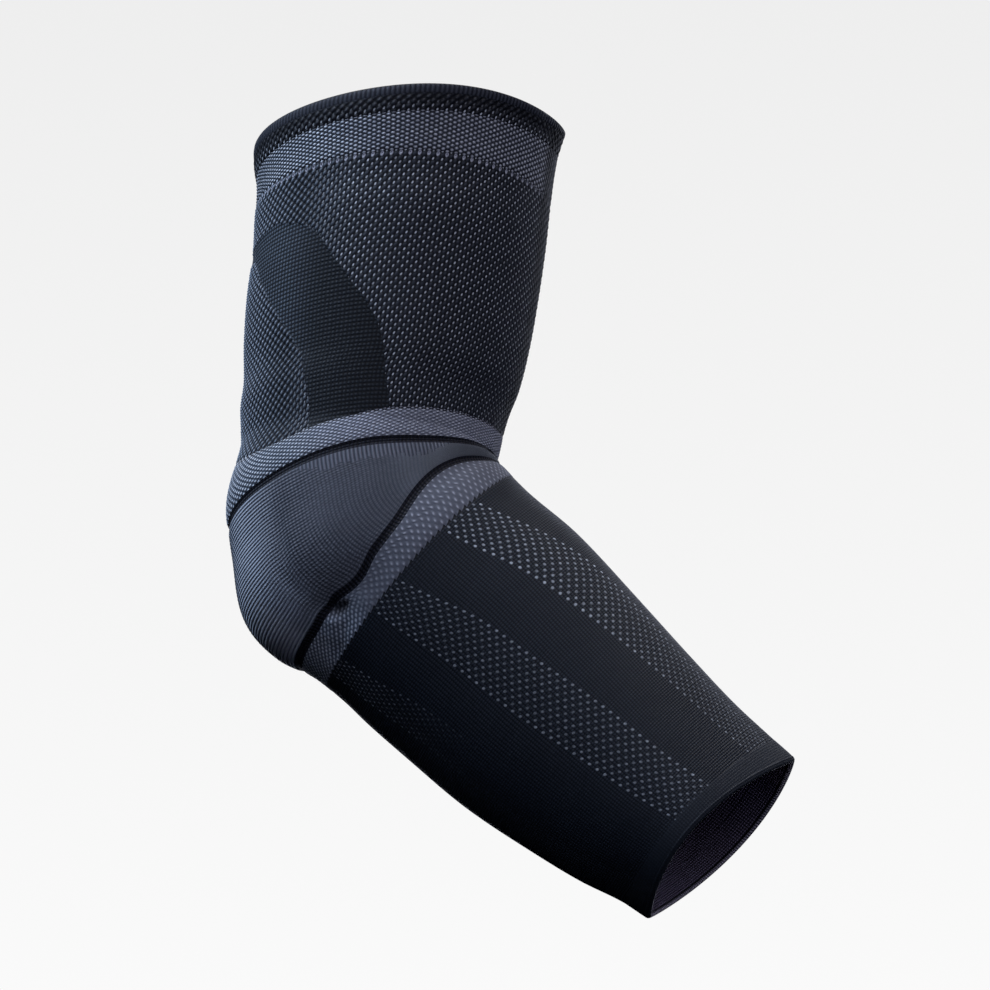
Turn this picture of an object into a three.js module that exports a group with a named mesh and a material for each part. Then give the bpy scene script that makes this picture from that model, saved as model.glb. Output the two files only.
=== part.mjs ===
// Knitted elbow sleeve, shown with the arm bent, as a stack of knitted rings.
// Millimetres, +Z up. The arm bends in the XZ plane: the elbow points to -X and the forearm runs to +X.
// The origin is the middle of the hollow at the elbow, where the joint of the arm sits.
import * as THREE from "three";

const { degToRad, lerp, smoothstep } = THREE.MathUtils;

// Lengths of the two limbs, along the inside of the bend.
const UPPER_LENGTH = 108;
const FOREARM_LENGTH = 127;

// Front-to-back depths and side-to-side widths of the sleeve.
const UPPER_RIM_DEPTH = 94.6;
const UPPER_RIM_WIDTH = 98;
const ELBOW_DEPTH = 91.6;
const ELBOW_WIDTH = 73;
const WRIST_RIM_DEPTH = 66;
const WRIST_RIM_WIDTH = 53;

// The knit: a common wall, and the widths of what is knitted into it.
const WALL = 2;
const JOIN_GAP = 0.3;
const HEM_WIDTH = 3.4;
const UPPER_CUFF_WIDTH = 5.6;
const UPPER_STRIPE_WIDTH = 12.4;
const SEAM_WIDTH = 2.4;
const SEAM_WIDTH_AT_CROOK = 1.2;
const CAP_WIDTH_AT_CROOK = 1.5;
const WRIST_CUFF_WIDTH = 13;
const WRIST_HEM_WIDTH = 1.6;

// Angles in degrees. A section's tilt is how far its back end drops below the level of its front.
const UPPER_LEAN = 11;
const FOREARM_DROP = 46.9;
const UPPER_RIM_TILT = 3.5;
const TILT_ABOVE_BEND = -2.3;
const TILT_BELOW_BEND = 55.3;
const WRIST_RIM_TILT = 49;

// Faceting.
const FACETS_AROUND = 40;
const MERIDIAN_STEPS = 240;

const bendAngle = degToRad(TILT_BELOW_BEND - TILT_ABOVE_BEND);
const crookArc = SEAM_WIDTH_AT_CROOK + CAP_WIDTH_AT_CROOK + 2 * JOIN_GAP;
const CROOK_RADIUS = crookArc / bendAngle;

// A place along the sleeve runs from 0 at the upper rim to 1 where the bend starts,
// 2 where it ends and 3 at the wrist rim.
const BEND_START = 1;
const BEND_END = 2;
const WRIST_RIM = 3;

// A row for each section. Its front bulge and depth are shares of the depth that the named sizes
// give at that place, and its width is a share of the width there.
const SECTIONS = [
  { place: 0, bulge: 0, depth: 1, width: 1 },
  { place: 0.06, bulge: -0.01, depth: 0.985, width: 1 },
  { place: 0.14, bulge: -0.01, depth: 0.96, width: 0.985 },
  { place: 0.25, bulge: 0, depth: 0.945, width: 0.98 },
  { place: 0.35, bulge: 0.01, depth: 0.93, width: 1 },
  { place: 0.5, bulge: 0.02, depth: 0.92, width: 1 },
  { place: 0.65, bulge: 0.025, depth: 0.9, width: 1 },
  { place: 0.78, bulge: 0.02, depth: 0.875, width: 1 },
  { place: 0.86, bulge: 0.005, depth: 0.87, width: 1 },
  { place: 0.93, bulge: 0, depth: 0.855, width: 1 },
  { place: 1, bulge: 0, depth: 0.845, width: 1 },
  { place: 1.2, bulge: 0, depth: 0.9, width: 1.01 },
  { place: 1.4, bulge: 0, depth: 0.93, width: 1.015 },
  { place: 1.6, bulge: 0, depth: 0.985, width: 1.01 },
  { place: 1.75, bulge: 0, depth: 0.975, width: 1 },
  { place: 1.88, bulge: 0, depth: 0.935, width: 1 },
  { place: 2, bulge: 0, depth: 0.94, width: 1 },
  { place: 2.1, bulge: 0, depth: 0.96, width: 1 },
  { place: 2.25, bulge: 0.02, depth: 0.985, width: 1 },
  { place: 2.45, bulge: 0.015, depth: 1.02, width: 1 },
  { place: 2.65, bulge: 0.005, depth: 1.03, width: 1 },
  { place: 2.8, bulge: 0, depth: 1.025, width: 1 },
  { place: 2.92, bulge: 0.01, depth: 1, width: 1 },
  { place: 3, bulge: 0.02, depth: 1, width: 1 },
];

// How far a section is pressed to a fold at its front and its back, from 0, round, to 1, a sharp
// edge, and how far its side at -Y leans towards the back, as a share of its half width.
const FOLDS = [
  { place: 0, front: 0.42, back: 0, skew: 0 },
  { place: 0.2, front: 0.35, back: 0, skew: 0 },
  { place: 0.9, front: 0.25, back: 0, skew: 0 },
  { place: 1.2, front: 0, back: 0, skew: 0 },
  { place: 2, front: 0, back: 0, skew: 0 },
  { place: 2.4, front: 0.05, back: 0, skew: 0 },
  { place: 2.75, front: 0.3, back: 0.3, skew: 0.12 },
  { place: 3, front: 0.75, back: 0.75, skew: 0.36 },
];

// The lines between the knitted zones, as places on the back, the side and the front of the sleeve
// and halfway between them.
const LINES = {
  hemEdge: fromUpperRim(HEM_WIDTH, [0.1, 0.1, 0, -0.15, -0.25]),
  stripeTop: fromUpperRim(HEM_WIDTH + UPPER_CUFF_WIDTH, [0.32, 0.08, 0, -0.04, -0.1]),
  stripeFoot: fromUpperRim(HEM_WIDTH + UPPER_CUFF_WIDTH + UPPER_STRIPE_WIDTH, [0.03, 0, 0, 0.07, 0.16]),
  upperBandTop: [1.06, 1.095, 0.985, 0.942, 0.925],
  upperSeam: [1.29, 1.247, 1.197, 1.2, BEND_START],
  lowerSeam: [1.83, 1.835, 1.8, 1.6, BEND_END],
  lowerBandFoot: [1.95, 1.985, 2.02, 2.045, 2.04],
  wristCuffTop: fromWristRim(WRIST_HEM_WIDTH + WRIST_CUFF_WIDTH, [0, 0, 0, 0, 0]),
  wristHemEdge: fromWristRim(WRIST_HEM_WIDTH, [0, 0, 0, 0, 0]),
};

// Soft dents in the knit, alike on both sides of the arm. The angle runs from the back, 0, to the
// front, 1. Depth is a share of the wall, and the reaches along the sleeve and around it are shares
// of the elbow's depth.
const DENTS = [
  { place: 1.86, angle: 0.33, depth: 0.55, along: 0.11, around: 0.14 },
  { place: 1.1, angle: 0.95, depth: 0.3, along: 0.2, around: 0.12 },
];

// A row for each knitted zone: the lines where it starts and ends, or the line that it covers where
// it is a seam, how far its middle and its edges stand out from the common surface as shares of the
// wall, and its number of facets along the sleeve.
const ZONES = [
  { name: "upper_hem", from: "upperRim", to: "hemEdge", middle: 0.2, edge: -0.1, steps: 3 },
  { name: "upper_cuff", from: "hemEdge", to: "stripeTop", middle: 0, edge: -0.15, steps: 2 },
  { name: "upper_stripe", from: "stripeTop", to: "stripeFoot", middle: 0.05, edge: -0.1, steps: 3 },
  { name: "upper_arm_sleeve", from: "stripeFoot", to: "upperBandTop", middle: 0, edge: -0.1, steps: 9 },
  { name: "upper_elbow_band", from: "upperBandTop", to: "upperSeam", middle: 0.25, edge: -0.1, steps: 4 },
  { name: "upper_seam", seam: "upperSeam", middle: -0.25, edge: -0.35, steps: 2 },
  { name: "elbow_cap", from: "upperSeam", to: "lowerSeam", middle: 0.15, edge: -0.1, steps: 9 },
  { name: "lower_seam", seam: "lowerSeam", middle: -0.25, edge: -0.35, steps: 2 },
  { name: "lower_elbow_band", from: "lowerSeam", to: "lowerBandFoot", middle: 0.25, edge: -0.1, steps: 4 },
  { name: "wrist_cuff", from: "wristCuffTop", to: "wristHemEdge", middle: 0, edge: -0.1, steps: 3 },
  { name: "wrist_hem", from: "wristHemEdge", to: "wristRim", middle: 0.05, edge: -0.15, steps: 2 },
];

// The edges of the dotted stripes that run down the forearm on both sides, as angles from the back,
// 0, to the front, 1, at a few places along it. Each stripe has an edge towards the back and one
// towards the front.
const STRIPE_PLACES = [1.9, 2, 2.2, 2.4, 2.6, 2.8, 3];
const STRIPE_EDGES = {
  rearBack: [0.06, 0.07, 0.1, 0.12, 0.13, 0.15, 0.18],
  rearFront: [0.14, 0.15, 0.2, 0.23, 0.25, 0.28, 0.32],
  sideBack: [0.3, 0.305, 0.33, 0.35, 0.38, 0.42, 0.48],
  sideFront: [0.38, 0.4, 0.455, 0.49, 0.53, 0.57, 0.63],
  frontBack: [0.53, 0.545, 0.6, 0.65, 0.7, 0.75, 0.79],
  frontFront: [0.63, 0.66, 0.75, 0.84, 0.865, 0.885, 0.9],
};

// The lengthwise panels and stripes of the forearm: the edges that they lie between, and their
// numbers of facets around. Left is the side at -Y, and right its mirror image.
const PANELS = [
  { name: "forearm_front_panel", from: "frontFront", to: "mirror", steps: 12 },
  { name: "forearm_front_stripe", from: "frontBack", to: "frontFront", steps: 3 },
  { name: "forearm_side_panel", from: "sideFront", to: "frontBack", steps: 3 },
  { name: "forearm_side_stripe", from: "sideBack", to: "sideFront", steps: 3 },
  { name: "forearm_rear_panel", from: "rearFront", to: "sideBack", steps: 3 },
  { name: "forearm_rear_stripe", from: "rearBack", to: "rearFront", steps: 3 },
  { name: "forearm_back_panel", from: "mirror", to: "rearBack", steps: 6 },
];
const PANEL_STEPS = 12;
const PANEL_EDGE = -0.1;

const COLOURS = {
  upper_hem: "#171b24",
  upper_cuff: "#1d212b",
  upper_stripe: "#4a4e5c",
  upper_arm_sleeve: "#232833",
  upper_elbow_band: "#565a69",
  upper_seam: "#10141c",
  elbow_cap: "#444957",
  lower_seam: "#10141c",
  lower_elbow_band: "#565a69",
  forearm_panel: "#1a1e28",
  forearm_stripe: "#363a47",
  wrist_cuff: "#1b202a",
  wrist_hem: "#2a2733",
};
const KNIT_ROUGHNESS = 0.92;

// Places at a distance from the upper rim, with a share added at each of the five angles.
function fromUpperRim(distance, shares) {
  return shares.map((share) => (distance * (1 + share)) / UPPER_LENGTH);
}

// Places at a distance from the wrist rim, with a share added at each of the five angles.
function fromWristRim(distance, shares) {
  return shares.map((share) => WRIST_RIM - (distance * (1 + share)) / FOREARM_LENGTH);
}

// A smooth curve through the values at the knots, by cubic pieces that share their slopes.
function smooth(knots, values, at) {
  const last = knots.length - 1;
  const slope = (i) => {
    const low = Math.max(i - 1, 0);
    const high = Math.min(i + 1, last);
    return (values[high] - values[low]) / (knots[high] - knots[low]);
  };
  let i = 0;
  while (i < last - 1 && at > knots[i + 1]) i += 1;
  const span = knots[i + 1] - knots[i];
  const t = (at - knots[i]) / span;
  const start = (2 * t ** 3 - 3 * t ** 2 + 1) * values[i] + (t ** 3 - 2 * t ** 2 + t) * span * slope(i);
  const end = (3 * t ** 2 - 2 * t ** 3) * values[i + 1] + (t ** 3 - t ** 2) * span * slope(i + 1);
  return start + end;
}

// The smooth value of a table's column at a place.
function column(table, name, place) {
  const knots = table.map((row) => row.place);
  const values = table.map((row) => row[name]);
  return smooth(knots, values, place);
}

const LINE_ANGLES = [0, 0.25, 0.5, 0.75, 1];

// The direction from the front of a section to its back, in the plane of the bend.
function backward(tiltDegrees) {
  const tilt = degToRad(tiltDegrees);
  return new THREE.Vector2(-Math.cos(tilt), -Math.sin(tilt));
}

// The section through the middle of the bend is centred on the origin. The fan of the bend turns about
// a pivot that lies just in front of the crook.
const bendMiddle = backward((TILT_ABOVE_BEND + TILT_BELOW_BEND) / 2);
const crookDistance = (ELBOW_DEPTH * column(SECTIONS, "depth", (BEND_START + BEND_END) / 2)) / 2;
const pivot = bendMiddle.clone().multiplyScalar(-crookDistance - CROOK_RADIUS);
const bendStart = pivot.clone().addScaledVector(backward(TILT_ABOVE_BEND), CROOK_RADIUS);
const bendEnd = pivot.clone().addScaledVector(backward(TILT_BELOW_BEND), CROOK_RADIUS);
const lean = degToRad(UPPER_LEAN);
const drop = degToRad(FOREARM_DROP);
const upperDirection = new THREE.Vector2(Math.sin(lean), Math.cos(lean));
const forearmDirection = new THREE.Vector2(Math.cos(drop), -Math.sin(drop));

// The straight limbs and the fan of the bend, before the rows of the table shape them.
function plainSection(place) {
  if (place <= BEND_START) {
    const t = BEND_START - place;
    return {
      front: bendStart.clone().addScaledVector(upperDirection, UPPER_LENGTH * t),
      back: backward(lerp(TILT_ABOVE_BEND, UPPER_RIM_TILT, t)),
      depth: lerp(ELBOW_DEPTH, UPPER_RIM_DEPTH, t),
      width: lerp(ELBOW_WIDTH, UPPER_RIM_WIDTH, t),
    };
  }
  if (place >= BEND_END) {
    const t = place - BEND_END;
    return {
      front: bendEnd.clone().addScaledVector(forearmDirection, FOREARM_LENGTH * t),
      back: backward(lerp(TILT_BELOW_BEND, WRIST_RIM_TILT, t)),
      depth: lerp(ELBOW_DEPTH, WRIST_RIM_DEPTH, t),
      width: lerp(ELBOW_WIDTH, WRIST_RIM_WIDTH, t),
    };
  }
  const back = backward(lerp(TILT_ABOVE_BEND, TILT_BELOW_BEND, place - BEND_START));
  const front = pivot.clone().addScaledVector(back, CROOK_RADIUS);
  return { front, back, depth: ELBOW_DEPTH, width: ELBOW_WIDTH };
}

// Any angle as its mirror image between the back, 0, and the front, 1.
function foldedAngle(angle) {
  return 1 - Math.abs(1 - Math.abs(angle));
}

// How deep the soft dents are at a place and an angle, in millimetres.
function dentDepth(place, angle) {
  const folded = foldedAngle(angle);
  let depth = 0;
  for (const dent of DENTS) {
    const along = ((place - dent.place) * bendAngle) / dent.along;
    const around = ((folded - dent.angle) * Math.PI) / 2 / dent.around;
    depth += WALL * dent.depth * Math.exp(-(along ** 2 + around ** 2));
  }
  return depth;
}

// A point of the sleeve. The angle runs from 0 at the back over 1 at the front to 2 at the back again,
// and the offset is how far the point stands out from the common surface.
function surfacePoint(place, angle, offset) {
  const plain = plainSection(place);
  const bulge = plain.depth * column(SECTIONS, "bulge", place);
  const reach = plain.depth * column(SECTIONS, "depth", place);
  const halfWidth = (plain.width * column(SECTIONS, "width", place)) / 2;
  const halfDepth = (reach + bulge) / 2;
  const rise = offset - dentDepth(place, angle);
  const turn = Math.PI * angle;
  const towardsFront = (1 - Math.cos(turn)) / 2;
  const fold = lerp(column(FOLDS, "back", place), column(FOLDS, "front", place), towardsFront);
  const side = Math.sign(Math.sin(turn)) * Math.abs(Math.sin(turn)) ** (1 + fold);
  const sway = column(FOLDS, "skew", place) * (halfWidth + rise) * side;
  const along = halfDepth - bulge + (halfDepth + rise) * Math.cos(turn) + sway;
  const spot = plain.front.addScaledVector(plain.back, along);
  return new THREE.Vector3(spot.x, -(halfWidth + rise) * side, spot.y);
}

// A meridian is one line along the sleeve, measured so that a distance gives a place.
function meridian(angle) {
  const places = Array.from({ length: MERIDIAN_STEPS + 1 }, (_, i) => (WRIST_RIM * i) / MERIDIAN_STEPS);
  const points = places.map((place) => surfacePoint(place, angle, 0));
  const lengths = [0];
  for (let i = 1; i < points.length; i += 1) {
    lengths.push(lengths[i - 1] + points[i].distanceTo(points[i - 1]));
  }
  const read = (from, to, value) => {
    let i = 0;
    while (i < MERIDIAN_STEPS - 1 && value > from[i + 1]) i += 1;
    return lerp(to[i], to[i + 1], (value - from[i]) / (from[i + 1] - from[i]));
  };
  return {
    angle,
    folded: foldedAngle(angle),
    lengthAt: (place) => read(places, lengths, place),
    placeAt: (length) => read(lengths, places, length),
    whole: lengths[MERIDIAN_STEPS],
  };
}

// The width of a dark seam, which narrows from the side of the elbow to the crook.
function seamWidth(folded) {
  return lerp(SEAM_WIDTH, SEAM_WIDTH_AT_CROOK, smoothstep(folded, 0.5, 1));
}

// Distances along a meridian at a line: where the zone above it stops, where a seam on it starts and
// stops, and where the zone below it starts.
function lineEdges(name, line) {
  const middle = line.lengthAt(smooth(LINE_ANGLES, LINES[name], line.folded));
  const half = name.endsWith("Seam") ? seamWidth(line.folded) / 2 : -JOIN_GAP / 2;
  return {
    stop: middle - half - JOIN_GAP,
    start: middle - half,
    end: middle + half,
    next: middle + half + JOIN_GAP,
  };
}

// The two ends of a zone on a meridian.
function zoneSpan(zone, line) {
  if (zone.seam) {
    const edges = lineEdges(zone.seam, line);
    return [edges.start, edges.end];
  }
  const first = zone.from === "upperRim" ? 0 : lineEdges(zone.from, line).next;
  const last = zone.to === "wristRim" ? line.whole : lineEdges(zone.to, line).stop;
  return [first, last];
}

const meridians = Array.from({ length: FACETS_AROUND }, (_, i) => meridian((2 * i) / FACETS_AROUND));

// A knitted zone as one closed wall: rings of points down its outer face and back up its inner face.
function zoneGeometry(zone) {
  const spans = meridians.map((line) => zoneSpan(zone, line));
  const ring = (share, offset) =>
    meridians.map((line, i) => {
      const length = lerp(spans[i][0], spans[i][1], share);
      return surfacePoint(line.placeAt(length), line.angle, offset);
    });
  const shares = Array.from({ length: zone.steps + 1 }, (_, i) => i / zone.steps);
  const crown = (share) => lerp(zone.middle, zone.edge, (2 * share - 1) ** 4);
  const outer = shares.map((share) => ring(share, WALL * crown(share)));
  const inner = shares.map((share) => ring(share, -WALL)).reverse();
  return loopGeometry([...outer, ...inner]);
}

// A closed surface through a loop of rings, each of as many points, with its faces pointing out.
function loopGeometry(rings) {
  const around = rings[0].length;
  const positions = rings.flat().flatMap((point) => point.toArray());
  const faces = [];
  rings.forEach((_, r) => {
    const below = ((r + 1) % rings.length) * around;
    for (let i = 0; i < around; i += 1) {
      const next = (i + 1) % around;
      const corners = [r * around + i, r * around + next, below + next, below + i];
      faces.push(corners[0], corners[3], corners[1], corners[1], corners[3], corners[2]);
    }
  });
  return indexedGeometry(positions, faces);
}

function indexedGeometry(positions, faces) {
  const geometry = new THREE.BufferGeometry();
  geometry.setAttribute("position", new THREE.Float32BufferAttribute(positions, 3));
  geometry.setIndex(faces);
  geometry.computeVertexNormals();
  return geometry;
}

// The share of a half turn, or of a limb's places, that spans a distance on the surface.
function shareOver(distance, place, angle, direction) {
  const step = 0.01;
  const [dPlace, dAngle] = direction === "around" ? [0, step] : [step, 0];
  const before = surfacePoint(place - dPlace, angle - dAngle, 0);
  const after = surfacePoint(place + dPlace, angle + dAngle, 0);
  return (distance * 2 * step) / before.distanceTo(after);
}

// Where a panel starts or ends along the sleeve, clear of the zone on its other side.
function panelEnd(line, angle, towards) {
  const place = smooth(LINE_ANGLES, LINES[line], foldedAngle(angle));
  return place + towards * shareOver(JOIN_GAP / 2, place, angle, "along");
}

// The two side edges of a panel at a place, half a gap inside its lines. A right-hand panel is the
// mirror image of a left-hand one, and a middle one runs from an edge to its own mirror image.
function panelSides(panel, side, place) {
  const edge = (name) => smooth(STRIPE_PLACES, STRIPE_EDGES[name], place);
  let first = panel.from === "mirror" ? -edge(panel.to) : edge(panel.from);
  let last = panel.to === "mirror" ? 2 - edge(panel.from) : edge(panel.to);
  if (side === "right") [first, last] = [2 - last, 2 - first];
  first += shareOver(JOIN_GAP / 2, place, first, "around");
  last -= shareOver(JOIN_GAP / 2, place, last, "around");
  return [first, last];
}

// A panel as a closed curved plank: loops of points across its outer face and back across its inner.
function panelGeometry(panel, side) {
  const spot = (share, across) => {
    let place = lerp(BEND_END, WRIST_RIM, share);
    let angle = 0;
    for (let round = 0; round < 4; round += 1) {
      const [first, last] = panelSides(panel, side, place);
      angle = lerp(first, last, across);
      const start = panelEnd("lowerBandFoot", angle, 1);
      const end = panelEnd("wristCuffTop", angle, -1);
      place = lerp(start, end, share);
    }
    return { place, angle };
  };
  const loops = Array.from({ length: PANEL_STEPS + 1 }, (_, s) => {
    const share = s / PANEL_STEPS;
    const rise = WALL * PANEL_EDGE * (2 * share - 1) ** 4;
    const spots = Array.from({ length: panel.steps + 1 }, (_, i) => spot(share, i / panel.steps));
    const outer = spots.map((at) => surfacePoint(at.place, at.angle, rise));
    const inner = spots.map((at) => surfacePoint(at.place, at.angle, -WALL)).reverse();
    return [...outer, ...inner];
  });
  return plankGeometry(loops);
}

// A closed surface through a row of loops, with its two ends filled in.
function plankGeometry(loops) {
  const around = loops[0].length;
  const positions = loops.flat().flatMap((point) => point.toArray());
  const faces = [];
  for (let r = 0; r < loops.length - 1; r += 1) {
    for (let i = 0; i < around; i += 1) {
      const next = (i + 1) % around;
      const corners = [r * around + i, r * around + next, (r + 1) * around + next, (r + 1) * around + i];
      faces.push(corners[0], corners[3], corners[1], corners[1], corners[3], corners[2]);
    }
  }
  const lastLoop = (loops.length - 1) * around;
  for (let i = 0; i < around / 2 - 1; i += 1) {
    const corners = [i, i + 1, around - 2 - i, around - 1 - i];
    faces.push(corners[0], corners[1], corners[2], corners[0], corners[2], corners[3]);
    const far = corners.map((corner) => lastLoop + corner);
    faces.push(far[0], far[2], far[1], far[0], far[3], far[2]);
  }
  return indexedGeometry(positions, faces);
}

const sleeve = new THREE.Group();

function addPiece(name, geometry, colour) {
  const material = new THREE.MeshStandardMaterial({ color: colour, roughness: KNIT_ROUGHNESS, metalness: 0 });
  const mesh = new THREE.Mesh(geometry, material);
  mesh.name = name;
  sleeve.add(mesh);
}

for (const zone of ZONES) {
  addPiece(zone.name, zoneGeometry(zone), COLOURS[zone.name]);
}
for (const panel of PANELS) {
  const colour = panel.name.endsWith("stripe") ? COLOURS.forearm_stripe : COLOURS.forearm_panel;
  if (panel.from === "mirror" || panel.to === "mirror") {
    addPiece(panel.name, panelGeometry(panel, "middle"), colour);
  } else {
    addPiece(`${panel.name}_left`, panelGeometry(panel, "left"), colour);
    addPiece(`${panel.name}_right`, panelGeometry(panel, "right"), colour);
  }
}

export default sleeve;
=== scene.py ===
# %% [markdown]
# # A knitted elbow sleeve
# This lesson dresses the plain solids of an elbow sleeve in knit. The sleeve is one knitted tube,
# shown as it looks when it is worn on a bent arm, with both ends open and nothing inside. The solids
# stay where they are and say how big everything is. We build the knit over them zone by zone.

# %% Load the frame
import math

import bpy
import numpy as np
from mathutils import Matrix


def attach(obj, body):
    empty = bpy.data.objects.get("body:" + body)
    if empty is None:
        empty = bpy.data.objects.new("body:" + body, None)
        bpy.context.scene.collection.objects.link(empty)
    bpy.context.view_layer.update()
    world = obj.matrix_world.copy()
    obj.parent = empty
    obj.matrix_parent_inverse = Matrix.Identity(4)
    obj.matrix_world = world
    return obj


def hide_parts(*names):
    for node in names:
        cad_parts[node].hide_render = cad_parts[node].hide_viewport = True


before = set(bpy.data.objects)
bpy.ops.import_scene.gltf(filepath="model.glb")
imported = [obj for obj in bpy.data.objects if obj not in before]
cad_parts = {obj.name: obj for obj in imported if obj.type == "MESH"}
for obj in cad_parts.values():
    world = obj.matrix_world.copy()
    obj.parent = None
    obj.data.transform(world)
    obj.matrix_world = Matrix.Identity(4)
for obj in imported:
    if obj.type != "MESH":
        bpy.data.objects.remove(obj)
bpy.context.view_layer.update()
bpy.ops.object.select_all(action="DESELECT")

# %% [markdown]
# ## Camera, floor and light
# The sleeve is seen from its side and from 20 degrees below, through a long lens. The floor lies far
# below, plain and pale. A studio lights such dark cloth apart from its backdrop, so that the backdrop
# does not wash out the shadows. Blender's ray visibility does the same here: the world and the floor
# are seen, but they throw no light on the cloth. Seven soft suns do that, the strongest from the
# upper left and from above.

# %% Camera
TARGET = (0.038, 0, 0.01065)
ELEVATION = math.radians(-20)
DISTANCE = 8
VIEW_WIDTH = 0.297

bpy.ops.object.camera_add(
    location=(TARGET[0], -DISTANCE * math.cos(ELEVATION), TARGET[2] + DISTANCE * math.sin(ELEVATION)),
    rotation=(math.pi / 2 - ELEVATION, 0, 0),
)
camera = bpy.context.object
camera.data.lens = camera.data.sensor_width * DISTANCE / VIEW_WIDTH
camera.data.clip_end = 100
bpy.context.scene.camera = camera
print("camera height:", round(camera.location.z, 3), "lens:", round(camera.data.lens, 1))


# %% One function for every node
def linear(hex_colour):
    """An sRGB hex colour as linear red, green, blue and alpha."""
    parts = [int(hex_colour[i:i + 2], 16) / 255 for i in (1, 3, 5)]
    return [c / 12.92 if c <= 0.04045 else ((c + 0.055) / 1.055) ** 2.4 for c in parts] + [1]


def add(tree, kind, inputs=(), out=0, **settings):
    """Adds one node with its settings. Its inputs come in order, or by name or number, and are linked or
    set. A hex colour is made linear. Gives back the output that is asked for."""
    node = tree.nodes.new("ShaderNode" + kind)
    for name, value in settings.items():
        setattr(node, name, value)
    pairs = inputs.items() if isinstance(inputs, dict) else enumerate(inputs)
    for name, value in pairs:
        if isinstance(value, bpy.types.NodeSocket):
            tree.links.new(value, node.inputs[name])
        else:
            node.inputs[name].default_value = linear(value) if isinstance(value, str) else value
    return node.outputs[out]


print("the middle grey #808080 is", round(linear("#808080")[0], 3), "once it is linear")

# %% Floor and backdrop
FLOOR_LEVEL = -3.2
PALE_FROM, PALE_TO = 0.324, 0.36  # heights on the backdrop between which it changes
LOW_GREY, HIGH_GREY = 0.955, 0.855

bpy.ops.mesh.primitive_plane_add(size=200, location=(0, 0, FLOOR_LEVEL))
floor = bpy.context.object
floor.name = "floor"
floor.visible_diffuse = floor.visible_glossy = False
paint = bpy.data.materials.new("matt_white_paint")
paint.use_nodes = True
shader = paint.node_tree.nodes["Principled BSDF"]
shader.inputs["Base Color"].default_value = linear("#9a9a9a")
shader.inputs["Roughness"].default_value = 0.9
floor.data.materials.append(paint)

world = bpy.data.worlds.new("studio")
bpy.context.scene.world = world
world.use_nodes = True
world.cycles_visibility.diffuse = world.cycles_visibility.glossy = False
tree = world.node_tree
height = add(tree, "SeparateXYZ", [add(tree, "TexCoord", out="Generated")], "Z")
share = add(tree, "MapRange", [height, PALE_FROM, PALE_TO])
pale = add(tree, "Mix", {0: share, 2: LOW_GREY, 3: HIGH_GREY})
tree.links.new(pale, tree.nodes["Background"].inputs["Color"])
print("floor at", FLOOR_LEVEL)

# %% Seven soft suns
SUNS = [  # name, direction towards the sun, strength, colour, angle across in degrees
    ("upper_left_sun", (-0.6, -0.15, 0.8), 5.0, "#d2e4ff", 40),
    ("top_sun", (0, 0, 1), 3.8, "#fffaf8", 50),
    ("front_sun", (0, -1, 0), 1.5, "#eeeeff", 60),
    ("right_sun", (0.6, -0.4, 0.7), 0.9, "#dfe0ff", 60),
    ("low_right_sun", (0.75, -0.6, -0.3), 0.7, "#d6d6ff", 40),
    ("low_left_sun", (-0.4, -0.5, -0.6), 0.12, "#8fbcff", 60),
    ("back_sun", (0.2, 0.9, 0.35), 1.4, "#e4eaff", 50),
]
for name, towards, strength, colour, across in SUNS:
    bpy.ops.object.light_add(type="SUN")
    sun = bpy.context.object
    sun.name = name
    x, y, z = towards
    sun.rotation_euler = (0, math.acos(z / math.hypot(x, y, z)), math.atan2(y, x))
    sun.data.energy = strength
    sun.data.color = linear(colour)[:3]
    sun.data.angle = math.radians(across)
bpy.context.scene.view_settings.view_transform = "Standard"
print("suns:", len(SUNS))

# %% [markdown]
# ## The form of the bent sleeve
# A tailor would pull the tube over an arm. We describe it by sections instead: a place from 0 at the
# upper rim, over 1 and 2 where the bend starts and ends, to 3 at the wrist rim. Each section has a
# front on the inside of the bend, a direction to its back, a depth and a width. The sizes, in
# millimetres, are those of the solids, so that the knit covers them and stays inside their box.

# %% Sizes
MM = 0.001
UPPER_LENGTH, FOREARM_LENGTH = 108, 127
UPPER_RIM_DEPTH, ELBOW_DEPTH, WRIST_RIM_DEPTH = 94.6, 91.6, 66
UPPER_RIM_WIDTH, ELBOW_WIDTH, WRIST_RIM_WIDTH = 98, 73, 53
WALL, JOIN_GAP = 2, 0.3
HEM_WIDTH, UPPER_CUFF_WIDTH, UPPER_STRIPE_WIDTH = 3.4, 5.6, 12.4
SEAM_WIDTH, SEAM_WIDTH_AT_CROOK, CAP_WIDTH_AT_CROOK = 2.4, 1.2, 1.5
WRIST_CUFF_WIDTH, WRIST_HEM_WIDTH = 7.5, 1.6
UPPER_LEAN, FOREARM_DROP = math.radians(11), math.radians(46.9)
UPPER_RIM_TILT, TILT_ABOVE_BEND = math.radians(3.5), math.radians(-2.3)
TILT_BELOW_BEND, WRIST_RIM_TILT = math.radians(55.3), math.radians(49)
BEND_ANGLE = TILT_BELOW_BEND - TILT_ABOVE_BEND
CROOK_RADIUS = (SEAM_WIDTH_AT_CROOK + CAP_WIDTH_AT_CROOK + 2 * JOIN_GAP) / BEND_ANGLE
print("bend:", round(math.degrees(BEND_ANGLE), 1), "degrees, radius in the crook:", round(CROOK_RADIUS, 2))

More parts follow.
